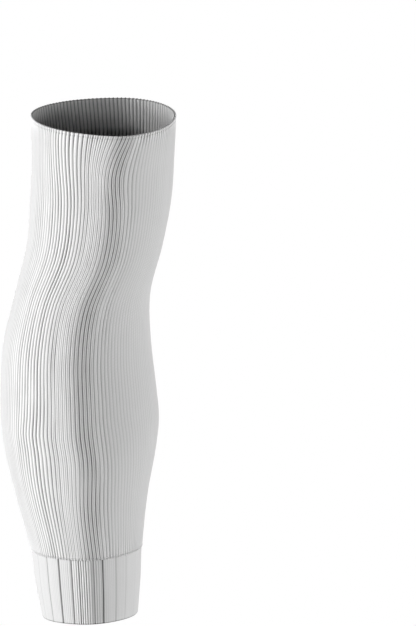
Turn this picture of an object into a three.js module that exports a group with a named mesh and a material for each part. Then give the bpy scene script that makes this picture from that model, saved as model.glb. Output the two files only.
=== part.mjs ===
// Knitted leg sleeve: a ribbed tube shaped to the lower leg, with a narrow ribbed cuff at the ankle.
// Millimetres, +Z up the leg. The origin is the middle of the fullest calf section.
// -Y is the shin, +Y the calf muscle, -X the outer side of the leg and +X its inner side.
import * as THREE from 'three';

// Wall
const WALL_THICKNESS = 2.0;
const CUFF_SET_IN = 0.5;
const SEAM_GAP = 0.3;

// Heights of the three edges, measured on the leg's axis
const RIM_HEIGHT = 219;
const SEAM_HEIGHT = -97.2;
const HEM_HEIGHT = -146.8;

// Each edge lies on a slanted plane: rise per millimetre towards the inner side and towards the back
const RIM_SLANT = { inner: -0.002, back: 0.058 };
const SEAM_SLANT = { inner: 0.032, back: -0.04 };
const HEM_SLANT = { inner: 0.045, back: -0.06 };

// The widest line of every section lies this far behind its middle, so the shin side is the longer half
const WIDEST_BEHIND_MIDDLE = 8;
// Half-width of the ridge that the shin bone raises down the front
const CREST_WIDTH = 13.4;

// Sections of the outer surface: its reach from the axis on the four sides of the leg,
// how far the shin line lies to the inner side of the axis, and how high the ridge stands there
const LEG_SECTIONS = [
  { height: -149, outer: 27.0, inner: 42.0, shin: 9.0, front: 46.5, back: 37.5, crest: 3.5 },
  { height: -120, outer: 32.6, inner: 44.2, shin: 8.3, front: 50.0, back: 43.5, crest: 4.0 },
  { height: -97, outer: 35.6, inner: 45.0, shin: 7.5, front: 53.5, back: 48.5, crest: 4.5 },
  { height: -60, outer: 45.4, inner: 48.8, shin: 5.3, front: 58.0, back: 56.5, crest: 5.0 },
  { height: -25, outer: 53.9, inner: 55.0, shin: 3.6, front: 61.5, back: 63.5, crest: 5.0 },
  { height: -5, outer: 56.4, inner: 57.0, shin: 0.4, front: 62.5, back: 67.0, crest: 5.0 },
  { height: 18, outer: 56.9, inner: 55.0, shin: -1.1, front: 62.0, back: 68.0, crest: 5.0 },
  { height: 53, outer: 54.4, inner: 51.2, shin: -2.0, front: 60.0, back: 64.5, crest: 5.0 },
  { height: 88, outer: 46.1, inner: 50.9, shin: 2.6, front: 58.5, back: 56.0, crest: 5.0 },
  { height: 124, outer: 37.7, inner: 59.8, shin: 16.5, front: 60.0, back: 51.0, crest: 5.0 },
  { height: 159, outer: 35.0, inner: 66.2, shin: 22.0, front: 63.0, back: 50.5, crest: 5.0 },
  { height: 192, outer: 33.6, inner: 68.3, shin: 24.5, front: 66.5, back: 52.0, crest: 4.5 },
  { height: 221, outer: 35.0, inner: 69.8, shin: 29.0, front: 69.0, back: 53.0, crest: 2.5 },
];
const SECTION_COLUMNS = ['outer', 'inner', 'shin', 'front', 'back', 'crest'];

// Facets, and the small turn over which an outline's direction is taken
const FACETS_ROUND = 48;
const TUBE_ROWS = 26;
const CUFF_ROWS = 5;
const DIRECTION_STEP = 1e-3;

// Finish of the white knit
const KNIT_ROUGHNESS = 0.92;
const TUBE_COLOR = 0xf1f1f0;
const CUFF_COLOR = 0xececea;

// A smooth curve through every column of the section table
const sectionCurve = new THREE.CubicInterpolant(
  LEG_SECTIONS.map((section) => section.height),
  LEG_SECTIONS.flatMap((section) => SECTION_COLUMNS.map((column) => section[column])),
  SECTION_COLUMNS.length,
  new Float64Array(SECTION_COLUMNS.length),
);

// The columns of the section table at one height, with the middle of the section across the leg
// and the place of its widest line from front to back
function sectionAt(height) {
  const values = sectionCurve.evaluate(height);
  const section = Object.fromEntries(SECTION_COLUMNS.map((column, index) => [column, values[index]]));
  section.middle = (section.inner - section.outer) / 2;
  section.widest = (section.back - section.front) / 2 + WIDEST_BEHIND_MIDDLE;
  return section;
}

// A point of the section's outline: four quarter ellipses that meet on the shin line, and the shin ridge
function outlinePoint(section, angle) {
  const towardsInner = Math.cos(angle) > 0;
  const towardsBack = Math.sin(angle) > 0;
  const halfWidth = towardsInner ? section.inner - section.shin : section.outer + section.shin;
  const halfDepth = towardsBack ? section.back - section.widest : section.front - section.crest + section.widest;
  const across = halfWidth * Math.cos(angle);
  const ridge = towardsBack ? 0 : section.crest * Math.exp(-0.5 * (across / CREST_WIDTH) ** 2);
  return new THREE.Vector2(section.shin + across, section.widest + halfDepth * Math.sin(angle) - ridge);
}

// The same point moved in along the outline's own normal
function insetPoint(section, angle, inset) {
  const point = outlinePoint(section, angle);
  const ahead = outlinePoint(section, angle + DIRECTION_STEP);
  const along = ahead.sub(outlinePoint(section, angle - DIRECTION_STEP)).normalize();
  return point.add(new THREE.Vector2(-along.y, along.x).multiplyScalar(inset));
}

// One ring of the wall, with its slanted plane
function wallRing(height, slant, inset) {
  const section = sectionAt(height);
  return Array.from({ length: FACETS_ROUND }, (_, index) => {
    const point = insetPoint(section, (2 * Math.PI * index) / FACETS_ROUND, inset);
    const rise = slant.inner * (point.x - section.middle) + slant.back * (point.y - section.widest);
    return [point.x, point.y, height + rise];
  });
}

// A closed tube of cloth between two edges: up the outer face, over the upper edge and down the inner face
function clothTube({ bottom, top, rows, setIn }) {
  const levels = Array.from({ length: rows + 1 }, (_, row) => {
    const share = row / rows;
    return {
      height: THREE.MathUtils.lerp(bottom.height, top.height, share),
      slant: {
        inner: THREE.MathUtils.lerp(bottom.slant.inner, top.slant.inner, share),
        back: THREE.MathUtils.lerp(bottom.slant.back, top.slant.back, share),
      },
    };
  });
  const outerFace = levels.map((level) => wallRing(level.height, level.slant, setIn));
  const innerFace = levels.map((level) => wallRing(level.height, level.slant, setIn + WALL_THICKNESS));
  const rings = [...outerFace, ...innerFace.reverse()];

  const indices = [];
  rings.forEach((_, ring) => {
    const lower = ring * FACETS_ROUND;
    const upper = ((ring + 1) % rings.length) * FACETS_ROUND;
    for (let facet = 0; facet < FACETS_ROUND; facet += 1) {
      const next = (facet + 1) % FACETS_ROUND;
      indices.push(lower + facet, lower + next, upper + next);
      indices.push(lower + facet, upper + next, upper + facet);
    }
  });

  const geometry = new THREE.BufferGeometry();
  geometry.setAttribute('position', new THREE.Float32BufferAttribute(rings.flat(2), 3));
  geometry.setIndex(indices);
  geometry.computeVertexNormals();
  return geometry;
}

// One named piece of the sleeve
function piece(name, geometry, color) {
  const material = new THREE.MeshStandardMaterial({ color, roughness: KNIT_ROUGHNESS, metalness: 0 });
  const mesh = new THREE.Mesh(geometry, material);
  mesh.name = name;
  return mesh;
}

const calfTube = piece('calf_tube', clothTube({
  bottom: { height: SEAM_HEIGHT, slant: SEAM_SLANT },
  top: { height: RIM_HEIGHT, slant: RIM_SLANT },
  rows: TUBE_ROWS,
  setIn: 0,
}), TUBE_COLOR);

const ankleCuff = piece('ankle_cuff', clothTube({
  bottom: { height: HEM_HEIGHT, slant: HEM_SLANT },
  top: { height: SEAM_HEIGHT - SEAM_GAP, slant: SEAM_SLANT },
  rows: CUFF_ROWS,
  setIn: CUFF_SET_IN,
}), CUFF_COLOR);

const legSleeve = new THREE.Group();
legSleeve.add(calfTube, ankleCuff);

export default legSleeve;
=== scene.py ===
"""A white ribbed knit leg sleeve in the shape that it takes on a leg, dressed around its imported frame.

The frame's own axes hold throughout: +Z up the leg, -Y the shin and +X the inner side of the leg.
Sizes of the cloth are in millimetres, and meshes are in metres.
"""

from __future__ import annotations

import logging
import math
from dataclasses import astuple, dataclass, field, fields
from enum import Enum
from typing import Any

import bpy
import numpy as np
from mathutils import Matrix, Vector


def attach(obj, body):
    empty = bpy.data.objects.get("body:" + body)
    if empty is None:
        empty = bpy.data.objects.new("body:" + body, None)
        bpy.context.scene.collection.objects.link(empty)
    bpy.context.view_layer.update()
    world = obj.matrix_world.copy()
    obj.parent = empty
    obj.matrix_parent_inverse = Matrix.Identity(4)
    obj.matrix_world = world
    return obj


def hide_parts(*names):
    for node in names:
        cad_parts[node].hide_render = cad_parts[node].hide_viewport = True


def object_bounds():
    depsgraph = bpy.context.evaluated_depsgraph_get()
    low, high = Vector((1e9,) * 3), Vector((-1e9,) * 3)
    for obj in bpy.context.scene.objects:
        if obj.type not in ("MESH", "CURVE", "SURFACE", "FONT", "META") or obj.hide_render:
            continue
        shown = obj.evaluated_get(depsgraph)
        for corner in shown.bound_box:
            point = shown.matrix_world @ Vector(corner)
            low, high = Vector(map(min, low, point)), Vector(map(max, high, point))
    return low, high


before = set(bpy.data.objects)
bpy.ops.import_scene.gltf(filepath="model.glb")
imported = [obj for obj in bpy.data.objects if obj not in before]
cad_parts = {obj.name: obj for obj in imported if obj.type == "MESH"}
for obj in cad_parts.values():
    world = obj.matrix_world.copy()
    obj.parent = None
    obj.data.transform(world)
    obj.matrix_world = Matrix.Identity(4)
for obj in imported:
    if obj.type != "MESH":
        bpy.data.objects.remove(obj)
CAD_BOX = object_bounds()

LOG = logging.getLogger("leg_sleeve")
MM = 0.001
BODY = "root"
# Name of the point mark that carries painted shade: groove lines, sunk lines, rim, welt, hem and the deep
# hollow
SHADE_MARK = "dip"
KNIT_MAP = "knit"
BAKE_MAP = "OFBake"
WHITE = (1.0, 1.0, 1.0, 1.0)


class EdgeForm(Enum):
    """How the open edge of a knitted tube is finished."""

    WELT = "welt"
    PLAIN = "plain"


class Socket(Enum):
    """The kinds of socket that the node trees show, by Blender's names."""

    FLOAT = "NodeSocketFloat"
    COUNT = "NodeSocketInt"
    VECTOR = "NodeSocketVector"
    GEOMETRY = "NodeSocketGeometry"
    MATERIAL = "NodeSocketMaterial"


@dataclass(frozen=True)
class LegSection:
    """One level cut of the worn shape: its reach on the four sides, the shin line and the shin ridge."""

    height: float
    outer: float
    inner: float
    shin: float
    front: float
    back: float
    crest: float


@dataclass(frozen=True)
class Edge:
    """A tube's edge on a slanted plane: its height, and its rise towards the inner side and the back."""

    height: float
    rise_inner: float
    rise_back: float


@dataclass(frozen=True)
class WallRow:
    """One ring of a wall: height, depth below the leg form, relief, lean, shade and cloth travelled."""

    height: float
    inset: float
    relief: float = 0.0
    lean: float = 0.0
    shade: float = 0.0
    travel: float = 0.0


class NodeSketch:
    """A node tree under construction, with short ways to add nodes and join them."""

    def __init__(self, tree: bpy.types.NodeTree) -> None:
        """Keep the tree that is being built."""
        self.tree = tree

    def feed(self, socket: bpy.types.NodeSocket, source: Any) -> None:
        """Join a socket to another node's output, or set its own value.

        Args:
            socket: The input to feed.
            source: An output of another node, or a plain value.
        """
        if isinstance(source, bpy.types.NodeSocket):
            self.tree.links.new(source, socket)
        else:
            socket.default_value = source

    def add(self, kind: str, feeds: dict[str | int, Any] | None = None, **settings: Any) -> bpy.types.Node:
        """Add one node.

        Args:
            kind: Blender's name for the type of node.
            feeds: What goes into its inputs, by name or place.
            **settings: Properties of the node itself.

        Returns:
            The new node.
        """
        node = self.tree.nodes.new(kind)
        for name, value in settings.items():
            setattr(node, name, value)
        for key, source in (feeds or {}).items():
            self.feed(node.inputs[key], source)
        return node

    def math(self, operation: str, *values: Any) -> bpy.types.NodeSocket:
        """Add one step of arithmetic and return its result."""
        return self.add("ShaderNodeMath", dict(enumerate(values)), operation=operation).outputs[0]

    def blend(self, first: Any, second: Any, share: Any) -> bpy.types.NodeSocket:
        """Go from the first value to the second by a share."""
        return self.math("MULTIPLY_ADD", self.math("SUBTRACT", second, first), share, first)

    def read(self, name: str, kind: str = "FLOAT") -> bpy.types.NodeSocket:
        """Read one of a mesh's named attributes."""
        node = self.add("GeometryNodeInputNamedAttribute", {"Name": name}, data_type=kind)
        return node.outputs["Attribute"]

    def shaded(self, geometry: bpy.types.NodeSocket, shade: Any) -> bpy.types.NodeSocket:
        """Keep the painted shade of a knit's lines on its points, and make its faces smooth.

        Args:
            geometry: The knit.
            shade: How dark each point is painted.

        Returns:
            The knit with its shade.
        """
        feeds = {"Geometry": geometry, "Name": SHADE_MARK, "Value": shade}
        stored = self.add("GeometryNodeStoreNamedAttribute", feeds, data_type="FLOAT", domain="POINT")
        return self.add("GeometryNodeSetShadeSmooth", {"Geometry": stored.outputs[0]}).outputs[0]

    def end(self, geometry: bpy.types.NodeSocket, finish: bpy.types.NodeSocket) -> None:
        """End a geometry tree with plain geometry in its finish.

        Args:
            geometry: What was built, with any instances.
            finish: The material that it takes.
        """
        whole = self.add("GeometryNodeRealizeInstances", {"Geometry": geometry}).outputs[0]
        dressed = self.add("GeometryNodeSetMaterial", {"Geometry": whole, "Material": finish})
        self.add("NodeGroupOutput", {0: dressed.outputs[0]})


def blank(holder: bpy.types.Material | bpy.types.World) -> NodeSketch:
    """Empty the node tree of a material or a world.

    Args:
        holder: The material or world.

    Returns:
        Its tree, to sketch in.
    """
    holder.use_nodes = True
    holder.node_tree.nodes.clear()
    return NodeSketch(holder.node_tree)


def put(name: str, data: bpy.types.ID) -> bpy.types.Object:
    """Put a mesh, lamp or camera into the scene.

    Args:
        name: The name of its object.
        data: What the object holds.

    Returns:
        The object.
    """
    holder = bpy.data.objects.new(name, data)
    bpy.context.scene.collection.objects.link(holder)
    return holder


class SharedTree(NodeSketch):
    """A node tree with named inputs and outputs that is built on first use and then shared."""

    NAME = ""
    KIND = "GeometryNodeTree"
    INPUTS: dict[str, Socket] = {}
    OUTPUTS: dict[str, Socket] = {}
    DEFAULTS: dict[str, float] = {}
    # Sockets of the node that draws a random number: its smallest and largest value, and the draw
    DRAW_LEAST = 2
    DRAW_MOST = 3
    DRAWN = 1

    def __init__(self) -> None:
        """Find the tree, or build it on first use."""
        found = bpy.data.node_groups.get(self.NAME)
        super().__init__(found or bpy.data.node_groups.new(self.NAME, self.KIND))
        if found:
            return
        for side, sockets in (("INPUT", self.INPUTS), ("OUTPUT", self.OUTPUTS)):
            for name, kind in sockets.items():
                self.tree.interface.new_socket(name, in_out=side, socket_type=kind.value)
        for name, value in self.DEFAULTS.items():
            self.tree.interface.items_tree[name].default_value = value
        self.given = self.add("NodeGroupInput").outputs
        self.fill()

    def fill(self) -> None:
        """Add the tree's own nodes."""
        raise NotImplementedError


@dataclass(frozen=True)
class LegForm:
    """The outer surface of the worn sleeve as a smooth run of level sections, in millimetres."""

    sections: tuple[LegSection, ...]
    widest_behind_middle: float = 8.0
    crest_width: float = 13.4
    direction_step: float = 1e-3
    arc_steps: int = 2160
    turns_searched: float = 1.5

    def columns_at(self, heights: np.ndarray) -> dict[str, np.ndarray]:
        """Read the section table at any heights, on a smooth curve through its rows.

        Args:
            heights: Heights on the leg's axis.

        Returns:
            Each column by its name, one row for each height, with the middle and the widest line added.
        """
        table = np.array([astuple(section) for section in self.sections])
        knots = table[:, 0]
        secants = np.diff(table, axis=0) / np.diff(knots)[:, None]
        slopes = np.vstack([secants[:1], (secants[:-1] + secants[1:]) / 2, secants[-1:]])
        start = np.clip(np.searchsorted(knots, heights, side="right") - 1, 0, len(knots) - 2)
        span = (knots[start + 1] - knots[start])[:, None]
        share = (heights[:, None] - knots[start][:, None]) / span
        values = table[start] * (1 + 2 * share) * (1 - share) ** 2
        values += table[start + 1] * share**2 * (3 - 2 * share)
        values += span * share * (1 - share) * (slopes[start] * (1 - share) - slopes[start + 1] * share)
        columns = {part.name: values[:, [place]] for place, part in enumerate(fields(LegSection))}
        columns["middle"] = (columns["inner"] - columns["outer"]) / 2
        columns["widest"] = (columns["back"] - columns["front"]) / 2 + self.widest_behind_middle
        return columns

    def outline(self, columns: dict[str, np.ndarray], angles: np.ndarray) -> np.ndarray:
        """Place points on level outlines: four quarter ellipses that meet on the shin line, and its ridge.

        Args:
            columns: The sections, one row for each height.
            angles: The angles of the points in each row, from the inner side round by the back.

        Returns:
            The points across the leg and from front to back.
        """
        cosine, sine = np.cos(angles), np.sin(angles)
        shin, widest, crest = columns["shin"], columns["widest"], columns["crest"]
        half_width = np.where(cosine > 0, columns["inner"] - shin, columns["outer"] + shin)
        half_depth = np.where(sine > 0, columns["back"] - widest, columns["front"] - crest + widest)
        across = half_width * cosine
        ridge = np.where(sine > 0, 0, crest * np.exp(-((across / self.crest_width) ** 2) / 2))
        return np.stack([shin + across, widest + half_depth * sine - ridge], axis=-1)

    def inward(self, columns: dict[str, np.ndarray], angles: np.ndarray) -> np.ndarray:
        """Find the level direction into the leg at points of the outlines.

        Args:
            columns: The sections, one row for each height.
            angles: The angles of the points in each row.

        Returns:
            Unit directions across the leg and from front to back.
        """
        along = self.outline(columns, angles + self.direction_step)
        along = along - self.outline(columns, angles - self.direction_step)
        along /= np.linalg.norm(along, axis=-1, keepdims=True)
        return np.stack([-along[..., 1], along[..., 0]], axis=-1)

    def angles_at(
        self, columns: dict[str, np.ndarray], layout: WaleLayout, wales: np.ndarray
    ) -> np.ndarray:
        """Find the angles at which lines of knitting cross each section.

        Args:
            columns: The sections, one row for each height.
            layout: How the knit is spread round the leg.
            wales: The lines of knitting, counted from the shin towards the inner side.

        Returns:
            One row of angles for each section.
        """
        # More than one turn round the shin, so that lines drawn aside past the back still find their place
        half = self.turns_searched * np.pi
        turn = np.linspace(-half, half, int(self.arc_steps * self.turns_searched) + 1) - np.pi / 2
        points = self.outline(columns, np.broadcast_to(turn, (len(columns["height"]), len(turn))))
        steps = np.linalg.norm(np.diff(points, axis=1), axis=-1)
        arc = np.concatenate([np.zeros((len(steps), 1)), np.cumsum(steps, axis=1)], axis=1)
        arc -= arc[:, [len(turn) // 2]]
        girth = np.array([np.interp(turn[0] + 2 * np.pi, turn, row) - row[0] for row in arc])
        wanted = layout.arc_of(wales[None, :], columns["height"], girth[:, None])
        return np.array([np.interp(want, row, turn) for want, row in zip(wanted, arc)])


@dataclass(frozen=True)
class RibBend:
    """A place where the ribs are drawn aside: how far, where, and its half-widths in wales and height."""

    shift: float
    wale: float
    wales: float
    height: float
    reach: float


@dataclass(frozen=True)
class WaleLayout:
    """The knit's upright lines: how many go round, how far apart they lie at the shin and how they sway."""

    count: int = 120
    shin_pitch: float = 2.87
    shin_hold: float = 0.65
    sway: float = 0.22
    sway_height: float = 46.0
    sway_wales: float = 9.0
    cross_sway_height: float = 27.0
    cross_sway_wales: float = 6.9
    bends: tuple[RibBend, ...] = ()

    def arc_of(self, wales: np.ndarray, heights: np.ndarray, girth: np.ndarray) -> np.ndarray:
        """Place lines of knitting along the girth, closer over the shin than over the calf.

        Args:
            wales: The lines, counted from the shin towards the inner side.
            heights: Heights on the leg's axis, one row each.
            girth: The girth at each height.

        Returns:
            Distances along the girth from the shin line.
        """
        share = wales / (self.count / 2)
        hold = (girth / (self.count * self.shin_pitch)) ** self.shin_hold
        spread = 2 * share / (hold + np.sqrt(hold**2 + 4 * (1 - hold) * np.abs(share)))
        wave = np.sin(heights / self.sway_height + wales / self.sway_wales)
        wave = wave + np.sin(heights / self.cross_sway_height - wales / self.cross_sway_wales)
        fade = np.cos(np.pi / 2 * share)
        arc = spread * girth / 2 + self.sway * wave * fade
        for bend in self.bends:
            away = ((wales - bend.wale) / bend.wales) ** 2 + ((heights - bend.height) / bend.reach) ** 2
            arc = arc + bend.shift * np.exp(-away)
        return arc


@dataclass(frozen=True)
class WaleBand:
    """A band of knit that differs from the rest: its middle, its half-width and how far it differs."""

    wale: float
    width: float
    amount: float


@dataclass(frozen=True)
class RibRelief:
    """The relief of a ribbed knit: depth outside and inside, sharpness of the ribs, and unevenness.

    The depth differs from rib to rib by the spread, and wanders along each rib by the drift.
    """

    depth: float = 1.0
    inside_depth: float = 0.5
    sharpness: float = 0.9
    spread: float = 0.2
    drift: float = 0.5
    seed: int = 1


class RibTree(SharedTree):
    """The node tree that presses upright ribs into a smooth wall.

    It reads the marks below and "inward", the direction into the cloth. Relief is one on the outer face
    and minus one on the inner face. Slack ribs are deep, with dark painted shade in their lines, and taut
    ones are shallow, with an even grey of painted shade.
    """

    NAME = "Knit ribs"
    INPUTS = {
        "Wall": Socket.GEOMETRY,
        "Rib Depth": Socket.FLOAT,
        "Inside Depth": Socket.FLOAT,
        "Groove Sharpness": Socket.FLOAT,
        "Depth Spread": Socket.FLOAT,
        "Depth Drift": Socket.FLOAT,
        "Seed": Socket.COUNT,
        "Knit": Socket.MATERIAL,
    }
    OUTPUTS = {"Ribbed Wall": Socket.GEOMETRY}
    MARKS = ("wale", "relief", "slack", "paired", "groove", "edge")
    # Metres along a rib, and steps from rib to rib, through the noise that moves the depth
    DRIFT_LENGTH = 0.035
    RIB_APART = 7.3
    DRIFT_DETAIL = 1.0
    # Depth that taut ribs keep, and depth of paired lines beside single ones
    TAUT_SHARE = 0.08
    PAIR_DEPTH = 0.6
    # How narrow and how dark the lines' painted shade is, and the depth in metres of a groove painted fully
    # dark
    SHADE_FOCUS = 1.25
    EVEN_SHADE = 0.35
    INSIDE_SHADE = 0.75
    INSIDE_POWER = 0.45
    DEEP = 0.001

    def fill(self) -> None:
        """Move the wall's points into the cloth, and keep the painted shade of its lines."""
        marks = {name: self.read(name) for name in self.MARKS}
        outer = self.math("MAXIMUM", marks["relief"], 0.0)
        inner = self.math("MAXIMUM", self.math("MULTIPLY", marks["relief"], -1.0), 0.0)
        lines, valleys = self.outer_lines(marks)
        uneven = self.unevenness(marks["wale"])
        outside_dip = self.math("MULTIPLY", self.math("MULTIPLY", valleys, outer), uneven)
        inside_dip = self.math("MULTIPLY", self.inner_lines(marks["wale"]), inner)
        looseness = self.math("MULTIPLY_ADD", marks["slack"], 1.0 - self.TAUT_SHARE, self.TAUT_SHARE)
        sunk = self.math("MULTIPLY", marks["groove"], outer)
        rib_depth = self.math("MULTIPLY", self.given["Rib Depth"], looseness)
        shift = self.math("MULTIPLY_ADD", outside_dip, rib_depth, sunk)
        shift = self.math("SUBTRACT", shift, self.math("MULTIPLY", inside_dip, self.given["Inside Depth"]))
        inward = self.read("inward", "FLOAT_VECTOR")
        offset = self.add("ShaderNodeVectorMath", {0: inward, "Scale": shift}, operation="SCALE")
        moved = {"Geometry": self.given["Wall"], "Offset": offset.outputs[0]}
        pressed = self.add("GeometryNodeSetPosition", moved)
        # Painted shade: dark lines where ribs lie slack, an even grey where they are taut
        shade = self.math("MULTIPLY", self.math("POWER", lines, self.SHADE_FOCUS), uneven)
        shade = self.blend(self.EVEN_SHADE, shade, marks["slack"])
        # Sunk lines take painted shade, full at a millimetre deep
        shade = self.math("MULTIPLY_ADD", shade, outer, self.math("DIVIDE", sunk, self.DEEP))
        # Painted shade in the inner face's valleys
        shade = self.math("MULTIPLY_ADD", inside_dip, self.INSIDE_SHADE, shade)
        # Painted shade along the welt, the rim's edge, the hem and deep in the hollow
        shade = self.math("ADD", shade, marks["edge"])
        self.end(self.shaded(pressed.outputs[0], shade), self.given["Knit"])

    def outer_lines(self, marks: dict[str, bpy.types.NodeSocket]) -> list[bpy.types.NodeSocket]:
        """Find the valleys between the outer face's ribs, with a second line on ribs that are paired.

        Args:
            marks: The wall's marks.

        Returns:
            The lines as painted shade darkens them, and the valleys as they are pressed in.
        """
        sharpness = self.given["Groove Sharpness"]
        half_turn = self.math("MULTIPLY", marks["wale"], math.pi)
        single = self.math("ABSOLUTE", self.math("COSINE", half_turn))
        double = self.math("ABSOLUTE", self.math("SINE", self.math("MULTIPLY", half_turn, 2.0)))
        valley = self.math("SUBTRACT", 1.0, self.math("POWER", single, sharpness))
        pair = self.math("SUBTRACT", 1.0, self.math("POWER", double, sharpness))
        shallow = self.math("MULTIPLY", pair, self.PAIR_DEPTH)
        lines = self.blend(valley, pair, marks["paired"])
        return [lines, self.blend(valley, shallow, marks["paired"])]

    def inner_lines(self, wale: bpy.types.NodeSocket) -> bpy.types.NodeSocket:
        """Find the valleys of the inner face, behind the outer face's ribs."""
        sine = self.math("ABSOLUTE", self.math("SINE", self.math("MULTIPLY", wale, math.pi)))
        return self.math("SUBTRACT", 1.0, self.math("POWER", sine, self.INSIDE_POWER))

    def unevenness(self, wale: bpy.types.NodeSocket) -> bpy.types.NodeSocket:
        """Let the depth differ from rib to rib and wander along each rib, around one.

        Args:
            wale: The place round the knit.

        Returns:
            A factor for the depth.
        """
        rib = self.add("FunctionNodeFloatToInt", {0: wale}, rounding_mode="ROUND").outputs[0]
        least = self.math("SUBTRACT", 1.0, self.given["Depth Spread"])
        most = self.math("ADD", 1.0, self.given["Depth Spread"])
        draw = {"ID": rib, "Seed": self.given["Seed"], self.DRAW_LEAST: least, self.DRAW_MOST: most}
        spread = self.add("FunctionNodeRandomValue", draw, data_type="FLOAT").outputs[self.DRAWN]
        position = self.add("GeometryNodeInputPosition").outputs[0]
        height = self.add("ShaderNodeSeparateXYZ", {0: position}).outputs[2]
        along = self.math("DIVIDE", height, self.DRIFT_LENGTH)
        apart = self.math("MULTIPLY", rib, self.RIB_APART)
        place = self.add("ShaderNodeCombineXYZ", {0: apart, 1: along}).outputs[0]
        feeds = {"Vector": place, "Scale": 1.0, "Detail": self.DRIFT_DETAIL}
        noise = self.add("ShaderNodeTexNoise", feeds).outputs[0]
        centred = self.math("MULTIPLY_ADD", noise, 2.0, -1.0)
        drift = self.math("MULTIPLY_ADD", centred, self.given["Depth Drift"], 1.0)
        return self.math("MULTIPLY", spread, drift)


class StitchTree(SharedTree):
    """The node tree that sets one small stitch on every point of a seam line, by its turn about the leg."""

    NAME = "Seam stitches"
    INPUTS = {
        "Seam": Socket.GEOMETRY,
        "Stitch Size": Socket.VECTOR,
        "Lean Spread": Socket.FLOAT,
        "Shade": Socket.FLOAT,
        "Seed": Socket.COUNT,
        "Knit": Socket.MATERIAL,
    }
    OUTPUTS = {"Stitches": Socket.GEOMETRY}
    # A ball one metre across, so that a stitch's size is its scale
    BALL = {"Segments": 8, "Rings": 6, "Radius": 0.5}

    def fill(self) -> None:
        """Place a flattened ball for each stitch, leaning a little at random."""
        ball = self.add("GeometryNodeMeshUVSphere", self.BALL).outputs[0]
        most = self.given["Lean Spread"]
        least = self.math("MULTIPLY", most, -1.0)
        draw = {"Seed": self.given["Seed"], self.DRAW_LEAST: least, self.DRAW_MOST: most}
        lean = self.add("FunctionNodeRandomValue", draw, data_type="FLOAT").outputs[self.DRAWN]
        facing = self.add("ShaderNodeCombineXYZ", {1: lean, 2: self.read("turn")}).outputs[0]
        feeds = {
            "Points": self.given["Seam"],
            "Instance": self.shaded(ball, self.given["Shade"]),
            "Rotation": facing,
            "Scale": self.given["Stitch Size"],
        }
        placed = self.add("GeometryNodeInstanceOnPoints", feeds).outputs[0]
        self.end(placed, self.given["Knit"])


def run_tree(piece: bpy.types.Object, tree: bpy.types.NodeTree, values: dict[str, Any]) -> None:
    """Run a geometry tree on a piece and keep its result as the piece's plain mesh.

    Args:
        piece: The object that holds the tree's starting mesh.
        tree: The geometry tree.
        values: The tree's inputs by name.
    """
    modifier = piece.modifiers.new(tree.name, "NODES")
    modifier.node_group = tree
    for socket in tree.interface.items_tree:
        if socket.in_out == "INPUT" and socket.name in values:
            modifier[socket.identifier] = values[socket.name]
    bpy.context.view_layer.update()
    evaluated = piece.evaluated_get(bpy.context.evaluated_depsgraph_get())
    made = bpy.data.meshes.new_from_object(evaluated)
    start = piece.data
    piece.modifiers.remove(modifier)
    piece.data = made
    bpy.data.meshes.remove(start)
    made.name = piece.name


def mark(mesh: bpy.types.Mesh, name: str, values: np.ndarray) -> None:
    """Give every point of a mesh one number under a name."""
    attribute = mesh.attributes.new(name, "FLOAT", "POINT")
    attribute.data.foreach_set("value", np.ravel(values).astype(np.float32))


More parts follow.
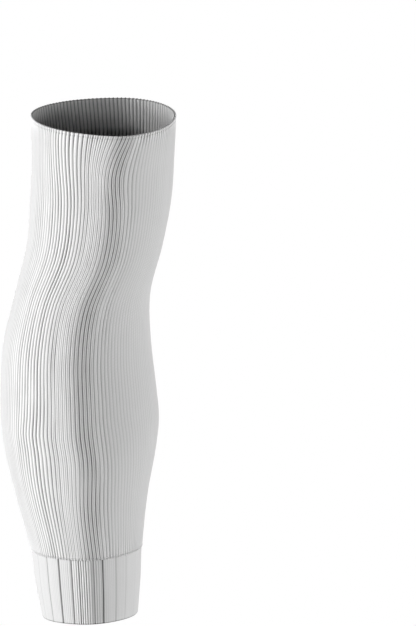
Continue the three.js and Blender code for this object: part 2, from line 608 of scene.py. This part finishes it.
@dataclass
class KnitTube:
    """A tube of ribbed knit between two slanted edges of the leg form.

    Depths, drops and reaches are in millimetres, bands are placed in wales, and shades go from none to one.
    """

    form: LegForm
    layout: WaleLayout
    bottom: Edge
    top: Edge
    name: str = ""
    node: str = ""
    slot: str = ""
    relief: RibRelief = RibRelief()
    set_in: float = 0.0
    outer_rows: int = 20
    inner_rows: int = 10
    thickness: float = 2.0
    columns_per_wale: int = 8
    edge_steps: int = 6
    top_form: EdgeForm = EdgeForm.PLAIN
    welt_drop: float = 2.2
    welt_width: float = 0.5
    welt_steps: tuple[float, ...] = (-2.0, -1.0, 0.0, 1.0)
    welt_clear: float = 1.5
    # The shades below are painted shade: along the welt, deep in the hollow, on the rim's edge and along
    # the hem
    welt_depth: float = 0.4
    welt_shade: float = 0.12
    scallop: float = 0.0
    hollow_depths: tuple[float, float] = (20.5, 29.5)
    hollow_shade: float = 0.0
    rim_shade: float = 0.0
    edge_turn: float = 0.3
    hem_shade: float = 0.0
    slack: float = 0.3
    rim_gather: float = 0.0
    seam_gather: float = 0.0
    gather_reach: float = 6.5
    bands: tuple[WaleBand, ...] = ()
    paired: tuple[WaleBand, ...] = ()
    grooves: tuple[WaleBand, ...] = ()
    stretch: float = 1.15
    piece: bpy.types.Object | None = field(default=None, init=False)

    def face_heights(self) -> np.ndarray:
        """Choose the heights of the outer face's rings, closer together where the welt is pressed in.

        Returns:
            The heights from the bottom up.
        """
        radius = self.thickness / 2
        heights = np.linspace(self.bottom.height + radius, self.top.height - radius, self.outer_rows + 1)
        if self.top_form is EdgeForm.PLAIN:
            return heights
        middle = self.top.height - self.welt_drop
        welt = middle + self.welt_width * np.array(self.welt_steps)
        clear = np.abs(heights - middle) > self.welt_clear
        return np.sort(np.concatenate([heights[clear], welt]))

    def inside_heights(self) -> np.ndarray:
        """Choose the heights of the inner face's rings, with one at each end of the painted shade that
        darkens the hollow.

        Returns:
            The heights from the top down.
        """
        radius = self.thickness / 2
        heights = np.linspace(self.top.height - radius, self.bottom.height + radius, self.inner_rows + 1)
        if self.hollow_shade:
            heights = np.append(heights, self.top.height - np.array(self.hollow_depths))
        return np.sort(heights)[::-1]

    def rows(self) -> list[WallRow]:
        """List the wall's rings: up the outer face, over the top edge, down the inner face and under.

        Returns:
            The rings in order, with the cloth travelled from the first of them.
        """
        radius = self.thickness / 2
        centre = self.set_in + radius
        path = []
        for height in self.face_heights():
            welt = 0.0
            if self.top_form is EdgeForm.WELT:
                welt = math.exp(-(((height - self.top.height + self.welt_drop) / self.welt_width) ** 2))
            path.append((height, self.set_in + welt * self.welt_depth, 1.0, 0.0, welt * self.welt_shade))
        for turn in np.linspace(0, np.pi, self.edge_steps + 1)[1:-1]:
            height = self.top.height - radius + radius * math.sin(turn)
            relief = max(math.cos(turn), self.scallop) if turn <= np.pi / 2 else math.cos(turn)
            shade = self.rim_shade if relief < self.edge_turn else 0.0
            path.append((height, centre - radius * math.cos(turn), relief, math.sin(turn), shade))
        for height in self.inside_heights():
            hollow = np.interp(self.top.height - height, self.hollow_depths, (0.0, self.hollow_shade))
            path.append((height, self.set_in + self.thickness, -1.0, 0.0, hollow))
        for turn in np.linspace(np.pi, 2 * np.pi, self.edge_steps + 1)[1:-1]:
            height = self.bottom.height + radius + radius * math.sin(turn)
            relief = math.cos(turn)
            shade = self.hem_shade if relief > 0 else 0.0
            path.append((height, centre - radius * relief, relief, 0.0, shade))
        places = np.array(path)[:, :2]
        steps = np.linalg.norm(np.diff(places, axis=0), axis=1)
        travel = np.concatenate([[0.0], np.cumsum(steps)])
        return [WallRow(*step, along) for step, along in zip(path, travel)]

    def surface(self, rows: list[WallRow], wales: np.ndarray) -> tuple[np.ndarray, np.ndarray]:
        """Lay the wall's rings on the leg form.

        Args:
            rows: The rings.
            wales: The lines of knitting that cross them.

        Returns:
            The points, one row for each ring, and the level directions into the leg there.
        """
        heights = np.array([row.height for row in rows])
        inset = np.array([row.inset for row in rows])[:, None, None]
        columns = self.form.columns_at(heights)
        angles = self.form.angles_at(columns, self.layout, wales)
        inward = self.form.inward(columns, angles)
        places = self.form.outline(columns, angles) + inward * inset
        share = ((heights - self.bottom.height) / (self.top.height - self.bottom.height))[:, None]
        rise_inner = self.bottom.rise_inner + (self.top.rise_inner - self.bottom.rise_inner) * share
        rise_back = self.bottom.rise_back + (self.top.rise_back - self.bottom.rise_back) * share
        level = heights[:, None] + rise_inner * (places[..., 0] - columns["middle"])
        level = level + rise_back * (places[..., 1] - columns["widest"])
        return np.concatenate([places, level[..., None]], axis=-1), inward

    def build(self) -> bpy.types.Object:
        """Make the smooth wall, with what its ribs and its finish read.

        Returns:
            An object with a closed mesh in metres.
        """
        rows = self.rows()
        count = self.layout.count * self.columns_per_wale
        wales = np.arange(count) / self.columns_per_wale - self.layout.count / 2
        points, inward = self.surface(rows, wales)
        mesh = self.closed_grid(points * MM)
        self.mark_wall(mesh, rows, wales)
        lean = np.array([row.lean for row in rows])[:, None, None]
        down = np.broadcast_to(-lean, (*inward.shape[:2], 1))
        direction = np.concatenate([inward * np.sqrt(1 - lean**2), down], axis=-1)
        mesh.attributes.new("inward", "FLOAT_VECTOR", "POINT").data.foreach_set("vector", direction.ravel())
        self.lay_maps(mesh, np.array([row.travel for row in rows]), count)
        self.piece = put(self.name, mesh)
        return self.piece

    def mark_wall(self, mesh: bpy.types.Mesh, rows: list[WallRow], wales: np.ndarray) -> None:
        """Mark every point of the wall with what the rib tree reads.

        Args:
            mesh: The wall's mesh.
            rows: Its rings.
            wales: The lines of knitting that cross them.
        """
        heights = np.array([row.height for row in rows])
        # Slack, and with it the ribs' depth and painted line shade, rises near the rim and the seam
        at_rim = np.exp(-(((self.top.height - heights) / self.gather_reach) ** 2))
        at_seam = np.exp(-(((heights - self.bottom.height) / self.gather_reach) ** 2))
        gathered = self.rim_gather * at_rim + self.seam_gather * at_seam
        slack = self.slack + self.added(wales, self.bands) + gathered[:, None]
        marks = {
            "wale": wales,
            "relief": np.array([row.relief for row in rows])[:, None],
            "groove": self.added(wales, self.grooves) * MM,
            "slack": np.minimum(slack, 1.0),
            "paired": self.added(wales, self.paired),
            "edge": np.array([row.shade for row in rows])[:, None],
        }
        for name, values in marks.items():
            mark(mesh, name, np.broadcast_to(values, (len(rows), len(wales))))

    @staticmethod
    def added(wales: np.ndarray, bands: tuple[WaleBand, ...]) -> np.ndarray:
        """Add up bands at each line of knitting.

        Args:
            wales: The lines of knitting.
            bands: The bands.

        Returns:
            How far each line differs.
        """
        total = np.zeros_like(wales)
        for band in bands:
            total += band.amount * np.exp(-(((wales - band.wale) / band.width) ** 2))
        return total

    def closed_grid(self, points: np.ndarray) -> bpy.types.Mesh:
        """Join rings of points into one closed wall whose faces point out.

        Args:
            points: The rings in order, each with the same number of points.

        Returns:
            The new mesh.
        """
        rings, count = points.shape[:2]
        ring, column = np.meshgrid(np.arange(rings), np.arange(count), indexing="ij")
        upper, after = (ring + 1) % rings, (column + 1) % count
        quads = [ring * count + column, ring * count + after, upper * count + after, upper * count + column]
        faces = np.stack(quads, axis=-1).reshape(-1, len(quads))
        mesh = bpy.data.meshes.new(self.name)
        mesh.from_pydata(points.reshape(-1, 3).tolist(), [], faces.tolist())
        return mesh

    @staticmethod
    def lay_maps(mesh: bpy.types.Mesh, travel: np.ndarray, count: int) -> None:
        """Lay two maps on the wall: one in wales and millimetres of cloth, and one that fills a square.

        Args:
            mesh: The wall's mesh, as the closed grid makes it.
            travel: The cloth travelled at each ring.
            count: Points in each ring.
        """
        rings = len(travel)
        whole = travel[-1] + (travel[1] - travel[0])
        ends = np.append(travel, whole)
        ring, column = np.meshgrid(np.arange(rings), np.arange(count), indexing="ij")
        across = np.stack([column, column + 1, column + 1, column], axis=-1) / count
        along = np.stack([ends[ring], ends[ring], ends[ring + 1], ends[ring + 1]], axis=-1)
        square = np.stack([across, along / whole], axis=-1).astype(np.float32)
        knit = np.stack([across, along], axis=-1).astype(np.float32)
        for name, places in ((KNIT_MAP, knit), (BAKE_MAP, square)):
            mesh.uv_layers.new(name=name).uv.foreach_set("vector", places.ravel())

    def dress(self, knit: bpy.types.Material) -> None:
        """Press the ribs into the wall, give it its finish and let it stand for its node.

        Args:
            knit: The finish of the cloth.
        """
        values = {
            "Rib Depth": self.relief.depth * MM,
            "Inside Depth": self.relief.inside_depth * MM,
            "Groove Sharpness": self.relief.sharpness,
            "Depth Spread": self.relief.spread,
            "Depth Drift": self.relief.drift,
            "Seed": self.relief.seed,
            "Knit": knit,
        }
        run_tree(self.piece, RibTree().tree, values)
        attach(self.piece, BODY)
        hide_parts(self.node)

    def declare(self, with_pieces: tuple[bpy.types.Object, ...] = ()) -> None:
        """Find points round level outlines along the cloth's length.

        Args:
            with_pieces: The pieces that are sewn to it. Not used.
        """
        rows = np.linspace(self.bottom.height, self.top.height, self.outer_rows)
        columns = self.form.columns_at(rows)
        turn = np.linspace(0, 2 * np.pi, self.form.arc_steps + 1)
        points = self.form.outline(columns, np.broadcast_to(turn, (len(rows), len(turn))))


@dataclass
class CalfTube(KnitTube):
    """The long ribbed tube from the knee to the ankle seam, with a narrow welt at its rim."""

    name: str = "calf_tube_knit"
    node: str = "calf_tube"
    slot: str = "rib_knit"
    relief: RibRelief = RibRelief(depth=0.9, inside_depth=0.8, sharpness=0.85, spread=0.25, seed=3)
    set_in: float = 0.0
    outer_rows: int = 52
    inner_rows: int = 28
    top_form: EdgeForm = EdgeForm.WELT
    rim_shade: float = 0.5
    scallop: float = 0.7
    hollow_shade: float = 0.6
    slack: float = 0.04
    rim_gather: float = 0.9
    seam_gather: float = 0.35
    # Five bands of slack ribs in front, from the outer side to the inner, and four round the back;
    #     # they lie deeper and take darker painted shade in their lines
    bands: tuple[WaleBand, ...] = (
        WaleBand(-22.0, 6.0, 0.3),
        WaleBand(-13.0, 6.8, 0.8),
        WaleBand(-3.2, 5.0, 0.62),
        WaleBand(2.6, 3.4, 0.9),
        WaleBand(11.0, 6.0, 0.08),
        WaleBand(-58.0, 10.0, 0.45),
        WaleBand(-42.0, 11.0, 0.5),
        WaleBand(40.0, 11.0, 0.5),
        WaleBand(58.0, 10.0, 0.45),
    )
    paired: tuple[WaleBand, ...] = (
        WaleBand(-4.2, 3.7, 0.85),
        WaleBand(3.2, 3.5, 0.55),
    )


@dataclass
class AnkleCuff(KnitTube):
    """The narrow cuff at the ankle: low ribs in panels between sunk lines."""

    name: str = "ankle_cuff_knit"
    node: str = "ankle_cuff"
    slot: str = "cuff_knit"
    relief: RibRelief = RibRelief(depth=0.5, inside_depth=0.4, spread=0.4, drift=0.15, seed=8)
    set_in: float = 0.5
    rim_shade: float = 0.2
    edge_turn: float = 1.0
    hem_shade: float = 0.5
    outer_rows: int = 16
    inner_rows: int = 10
    slack: float = 0.1
    bands: tuple[WaleBand, ...] = (WaleBand(-2.5, 5.5, 0.85),)
    front_grooves: tuple[WaleBand, ...] = (
        WaleBand(-37.8, 0.35, 0.1),
        WaleBand(-29.4, 0.35, 0.12),
        WaleBand(-21.3, 0.35, 0.3),
        WaleBand(-14.1, 0.35, 0.7),
        WaleBand(-7.8, 0.3, 0.6),
        WaleBand(-4.2, 0.3, 0.2),
        WaleBand(1.1, 0.3, 0.3),
        WaleBand(5.3, 0.32, 0.65),
        WaleBand(11.9, 0.35, 0.25),
        WaleBand(18.2, 0.35, 0.12),
        WaleBand(26.6, 0.35, 0.05),
        WaleBand(35.0, 0.35, 0.1),
    )
    panel_wales: float = 6.4
    panel_depths: tuple[float, float] = (0.15, 0.7)
    panel_seed: int = 5

    def __post_init__(self) -> None:
        """Carry the panels on round the sides and back, with uneven depths."""
        chance = np.random.default_rng(self.panel_seed)
        first, last = self.front_grooves[0], self.front_grooves[-1]
        end = self.layout.count + first.wale
        places = np.arange(last.wale + self.panel_wales, end, self.panel_wales)
        depths = chance.uniform(*self.panel_depths, len(places))
        half = self.layout.count / 2
        round_back = np.where(places < half, places, places - self.layout.count)
        pairs = zip(round_back.tolist(), depths.tolist())
        others = (WaleBand(wale, last.width, depth) for wale, depth in pairs)
        self.grooves = (*self.front_grooves, *others)


@dataclass
class SeamStitches:
    """The row of small stitches that joins the cuff to the tube's lower edge."""

    tube: KnitTube
    name: str = "seam_stitches"
    slot: str = "cuff_knit"
    inset: float = 0.35
    size: tuple[float, float, float] = (1.1, 1.6, 1.5)
    lean_spread: float = 0.35
    shade: float = 0.2
    seed: int = 11
    piece: bpy.types.Object | None = field(default=None, init=False)

    def build(self) -> bpy.types.Object:
        """Mark one place on every rib along the seam.

        Returns:
            An object with one point for each stitch.
        """
        count = self.tube.layout.count
        row = WallRow(height=self.tube.bottom.height, inset=self.inset)
        points, inward = self.tube.surface([row], np.arange(count) - count / 2)
        mesh = bpy.data.meshes.new(self.name)
        mesh.from_pydata((points[0] * MM).tolist(), [], [])
        mark(mesh, "turn", np.arctan2(-inward[..., 1], -inward[..., 0]))
        self.piece = put(self.name, mesh)
        return self.piece

    def dress(self, knit: bpy.types.Material) -> None:
        """Set the stitches on their places and give them their finish.

        Args:
            knit: The finish of the yarn.
        """
        size = tuple(side * MM for side in self.size)
        values = {
            "Stitch Size": size,
            "Lean Spread": self.lean_spread,
            "Shade": self.shade,
            "Seed": self.seed,
            "Knit": knit,
        }
        run_tree(self.piece, StitchTree().tree, values)
        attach(self.piece, BODY)


class KnitLoops(SharedTree):
    """A column of small arrowed loops down every rib, with painted shade where they dip, as a shader group.
    """

    NAME = "Knit loops"
    KIND = "ShaderNodeTree"
    INPUTS = {"Wale": Socket.FLOAT, "Course": Socket.FLOAT, "Slope": Socket.FLOAT}
    OUTPUTS = {"Height": Socket.FLOAT, "Shade": Socket.FLOAT}
    DEFAULTS = {"Slope": 1.5}
    # Range of the painted shade between the loops, and the darkest of it
    LOOP_SHADE = (0.10, 0.92)

    def fill(self) -> None:
        """Draw waves that step down towards both sides of each rib."""
        half_on = self.math("FRACT", self.math("ADD", self.given["Wale"], 0.5))
        side = self.math("ABSOLUTE", self.math("SUBTRACT", half_on, 0.5))
        step = self.math("MULTIPLY_ADD", side, self.given["Slope"], self.given["Course"])
        wave = self.math("SINE", self.math("MULTIPLY", step, 2 * math.pi))
        loop = self.math("MULTIPLY_ADD", wave, 0.5, 0.5)
        self.add("NodeGroupOutput", {0: loop, 1: self.math("MULTIPLY_ADD", loop, *self.LOOP_SHADE)})


class YarnFuzz(SharedTree):
    """The yarn's own unevenness: fine fuzz and slow clouds over the cloth, as a shader group."""

    NAME = "Yarn fuzz"
    KIND = "ShaderNodeTree"
    INPUTS = {"Fuzz Scale": Socket.FLOAT, "Cloud Scale": Socket.FLOAT}
    OUTPUTS = {"Height": Socket.FLOAT, "Shade": Socket.FLOAT, "Roughness": Socket.FLOAT}
    DEFAULTS = {"Fuzz Scale": 2600.0, "Cloud Scale": 45.0}
    FUZZ_DETAIL = 2.0
    CLOUD_DETAIL = 1.0
    # Each pair is a range and the smallest value
    FUZZ_SHADE = (0.06, 0.95)
    FUZZ_ROUGHNESS = (0.12, 0.94)
    CLOUD_SHADE = (0.03, 0.985)

    def fill(self) -> None:
        """Mix the fuzz and the clouds."""
        place = self.add("ShaderNodeTexCoord").outputs["Object"]
        fine = {"Vector": place, "Scale": self.given["Fuzz Scale"], "Detail": self.FUZZ_DETAIL}
        slow = {"Vector": place, "Scale": self.given["Cloud Scale"], "Detail": self.CLOUD_DETAIL}
        fuzz, cloud = (self.add("ShaderNodeTexNoise", feeds).outputs[0] for feeds in (fine, slow))
        fuzz_shade = self.math("MULTIPLY_ADD", fuzz, *self.FUZZ_SHADE)
        shade = self.math("MULTIPLY", fuzz_shade, self.math("MULTIPLY_ADD", cloud, *self.CLOUD_SHADE))
        rough = self.math("MULTIPLY_ADD", fuzz, *self.FUZZ_ROUGHNESS)
        self.add("NodeGroupOutput", {0: fuzz, 1: shade, 2: rough})


@dataclass(frozen=True)
class KnitFinish:
    """White knitted yarn: its colour, how far painted shade darkens its grooves, and the size of its
    stitches.
    """

    name: str
    colour: tuple[float, float, float]
    groove_shade: float
    stitch_relief: float
    course: float = 1.1
    roughness: float = 0.92
    specular: float = 0.25

    def material(self, wales_round: int) -> bpy.types.Material:
        """Build the material.

        Args:
            wales_round: The lines of knitting that go round the cloth.

        Returns:
            A matte knit whose stitches follow the wall's own map.
        """
        material = bpy.data.materials.new(self.name)
        sketch = blank(material)
        place = sketch.add("ShaderNodeUVMap", uv_map=KNIT_MAP).outputs[0]
        parts = sketch.add("ShaderNodeSeparateXYZ", {0: place}).outputs
        wale = sketch.math("MULTIPLY", parts[0], float(wales_round))
        course = sketch.math("DIVIDE", parts[1], self.course)
        stitch = sketch.add("ShaderNodeGroup", {"Wale": wale, "Course": course}, node_tree=KnitLoops().tree)
        yarn = sketch.add("ShaderNodeGroup", node_tree=YarnFuzz().tree)
        # Painted shade from the wall's mark darkens the colour in grooves, along edges and deep in the
        # hollow
        dip = sketch.add("ShaderNodeAttribute", attribute_name=SHADE_MARK).outputs["Fac"]
        shade = sketch.math("MULTIPLY_ADD", sketch.math("MINIMUM", dip, 1.0), -self.groove_shade, 1.0)
        shade = sketch.math("MULTIPLY", shade, yarn.outputs["Shade"])
        shade = sketch.math("MULTIPLY", shade, stitch.outputs["Shade"])
        colour = sketch.add("ShaderNodeVectorMath", {0: self.colour, "Scale": shade}, operation="SCALE")
        relief = sketch.math("ADD", stitch.outputs["Height"], yarn.outputs["Height"])
        depth = self.stitch_relief * MM
        bump = sketch.add("ShaderNodeBump", {"Height": relief, "Distance": depth, "Strength": 1.0})
        feeds = {
            "Base Color": colour.outputs[0],
            "Roughness": sketch.math("MULTIPLY", yarn.outputs["Roughness"], self.roughness),
            "Normal": bump.outputs[0],
            "Specular IOR Level": self.specular,
        }
        shader = sketch.add("ShaderNodeBsdfPrincipled", feeds)
        sketch.add("ShaderNodeOutputMaterial", {0: shader.outputs[0]})
        return material


@dataclass(frozen=True)
class SoftBox:
    """A soft studio lamp that faces the sleeve: its bearing from the camera, height, size and strength."""

    name: str
    bearing: float
    elevation: float
    radiance: float
    distance: float = 4.0
    width: float = 1.2
    height: float = 1.6

    def build(self, aim: Vector) -> bpy.types.Object:
        """Place the lamp.

        Args:
            aim: The point that the lamp faces.

        Returns:
            The lamp's object.
        """
        lamp = bpy.data.lights.new(self.name, "AREA")
        lamp.shape = "RECTANGLE"
        lamp.size, lamp.size_y = self.width, self.height
        lamp.energy = self.radiance * math.pi * self.width * self.height
        turn, lift = math.radians(self.bearing), math.radians(self.elevation)
        away = Vector((math.sin(turn) * math.cos(lift), -math.cos(turn) * math.cos(lift), math.sin(lift)))
        holder = put(self.name, lamp)
        holder.location = aim + away * self.distance
        holder.rotation_euler = away.to_track_quat("Z", "Y").to_euler()
        holder.visible_camera = False
        return holder


@dataclass
class Studio:
    """The plain pale floor, the soft lamps and the camera at the photograph's viewing angle."""

    elevation: float = 11.0
    distance: float = 8.0
    frame_pixels: int = 626
    pixel_size: float = 0.717
    aim_right: float = 92.13
    aim_up: float = 73.13
    sensor: float = 36.0
    floor_drop: float = 0.65
    floor_size: float = 60.0
    view_reach: float = 600.0
    floor_glow: float = 0.496
    world_glow: float = 0.01
    lamp_aim: tuple[float, float, float] = (0.0, 0.0, 0.03)
    lamps: tuple[SoftBox, ...] = (
        SoftBox("near lamp", -30.0, 0.0, 5.6),
        SoftBox("front lamp", 0.0, 0.0, 7.0),
        SoftBox("side lamp", -90.0, 0.0, 20.5),
        SoftBox("top lamp", -90.0, 35.0, 11.0),
        SoftBox("edge lamp", 105.0, 0.0, 22.2),
        SoftBox("high edge lamp", 105.0, 35.0, 1.0),
    )

    def build(self) -> None:
        """Make the whole studio."""
        self.build_camera()
        self.build_floor()
        self.build_world()
        for lamp in self.lamps:
            lamp.build(Vector(self.lamp_aim))
        bpy.context.scene.view_settings.view_transform = "Standard"

    def build_camera(self) -> None:
        """Set the camera so that the sleeve fills the same part of the frame as in the photograph."""
        lift = math.radians(self.elevation)
        up = Vector((0.0, math.sin(lift), math.cos(lift)))
        back = Vector((0.0, -math.cos(lift), math.sin(lift)))
        aim = Vector((self.aim_right, 0.0, 0.0)) * MM + up * self.aim_up * MM
        camera = bpy.data.cameras.new("camera")
        camera.sensor_width = self.sensor
        camera.lens = self.sensor * self.distance / (self.frame_pixels * self.pixel_size * MM)
        camera.clip_end = self.view_reach
        holder = put("camera", camera)
        holder.location = aim + back * self.distance
        holder.rotation_euler = back.to_track_quat("Z", "Y").to_euler()
        bpy.context.scene.camera = holder

    def build_floor(self) -> None:
        """Lay the floor below the hem."""
        low = CAD_BOX[0].z - self.floor_drop
        half = self.floor_size / 2
        corners = [(-half, -half, low), (half, -half, low), (half, half, low), (-half, half, low)]
        mesh = bpy.data.meshes.new("floor")
        mesh.from_pydata(corners, [], [(0, 1, 2, 3)])
        material = bpy.data.materials.new("pale floor")
        sketch = blank(material)
        shader = sketch.add("ShaderNodeEmission", {"Strength": self.glow(sketch, self.floor_glow)})
        sketch.add("ShaderNodeOutputMaterial", {0: shader.outputs[0]})
        mesh.materials.append(material)
        floor = put("floor", mesh)

    def build_world(self) -> None:
        """Make the surroundings white to look at and dim as a light."""
        world = bpy.data.worlds.new("studio")
        sketch = blank(world)
        feeds = {"Color": WHITE, "Strength": self.glow(sketch, self.world_glow)}
        shader = sketch.add("ShaderNodeBackground", feeds)
        sketch.add("ShaderNodeOutputWorld", {0: shader.outputs[0]})
        bpy.context.scene.world = world

    @staticmethod
    def glow(sketch: NodeSketch, dim: float) -> bpy.types.NodeSocket:
        """Give full white to the camera and a dimmer glow to everything else."""
        seen = sketch.add("ShaderNodeLightPath").outputs["Is Camera Ray"]
        return sketch.math("MULTIPLY_ADD", seen, 1.0 - dim, dim)


RIB_KNIT = KnitFinish("rib knit", colour=(0.89, 0.89, 0.89), groove_shade=0.92, stitch_relief=0.1)
CUFF_KNIT = KnitFinish("cuff knit", colour=(0.93, 0.93, 0.93), groove_shade=0.88, stitch_relief=0.08)
LEG = LegForm(
    sections=(
        LegSection(-149, 27.0, 42.0, 9.0, 46.5, 37.5, 3.5),
        LegSection(-120, 32.6, 44.2, 8.3, 50.0, 43.5, 4.0),
        LegSection(-97, 35.6, 45.0, 7.5, 53.5, 48.5, 4.5),
        LegSection(-60, 45.4, 48.8, 5.3, 58.0, 56.5, 5.0),
        LegSection(-25, 53.9, 55.0, 3.6, 61.5, 63.5, 5.0),
        LegSection(-5, 56.4, 57.0, 0.4, 62.5, 67.0, 5.0),
        LegSection(18, 56.9, 55.0, -1.1, 62.0, 68.0, 5.0),
        LegSection(53, 54.4, 51.2, -2.0, 60.0, 64.5, 5.0),
        LegSection(88, 46.1, 50.9, 2.6, 58.5, 56.0, 5.0),
        LegSection(124, 37.7, 59.8, 16.5, 60.0, 51.0, 5.0),
        LegSection(159, 35.0, 66.2, 22.0, 63.0, 50.5, 5.0),
        LegSection(192, 33.6, 68.3, 24.5, 66.5, 52.0, 4.5),
        LegSection(221, 35.0, 69.8, 29.0, 69.0, 53.0, 2.5),
    )
)
RIM = Edge(219.0, -0.002, 0.058)
SEAM = Edge(-97.2, 0.032, -0.04)
CUFF_TOP = Edge(-97.45, 0.032, -0.04)
HEM = Edge(-146.8, 0.045, -0.06)
# The ribs fan out below the rim's outer end, and swerve beside the shin
RIM_BENDS = (
    RibBend(-8.0, -14.0, 8.5, 219.0, 40.0),
    RibBend(-4.2, 2.5, 5.5, 187.0, 23.0),
    RibBend(2.8, 0.5, 5.0, 221.0, 13.0),
)
# They lean towards the outer side below the fullest calf line, and spread a little at it
CALF_BENDS = (
    RibBend(-7.4, -15.0, 9.5, -38.0, 42.0),
    RibBend(-1.0, -15.0, 9.0, -6.0, 8.0),
    RibBend(1.0, 12.0, 7.0, -8.0, 9.0),
    RibBend(-2.4, 2.5, 5.5, -65.0, 38.0),
)


def main() -> None:
    """Build the sleeve and its studio in order, and report each piece."""
    logging.basicConfig(level=logging.INFO, format="%(message)s")
    Studio().build()
    broad_ribs = WaleLayout(bends=RIM_BENDS + CALF_BENDS)
    fine_ribs = WaleLayout(count=168, shin_pitch=2.05, sway_wales=12.6, cross_sway_wales=9.7)
    tube = CalfTube(form=LEG, layout=broad_ribs, bottom=SEAM, top=RIM)
    cuff = AnkleCuff(form=LEG, layout=fine_ribs, bottom=HEM, top=CUFF_TOP)
    stitches = SeamStitches(tube=tube)
    rib_knit = RIB_KNIT.material(broad_ribs.count)
    cuff_knit = CUFF_KNIT.material(fine_ribs.count)
    for part, finish in ((tube, rib_knit), (cuff, cuff_knit), (stitches, cuff_knit)):
        piece = part.build()
        part.dress(finish)
        LOG.info("%s: %d faces", piece.name, len(piece.data.polygons))
    tube.declare()
    cuff.declare(with_pieces=(stitches.piece,))


if __name__ == "__main__":
    main()
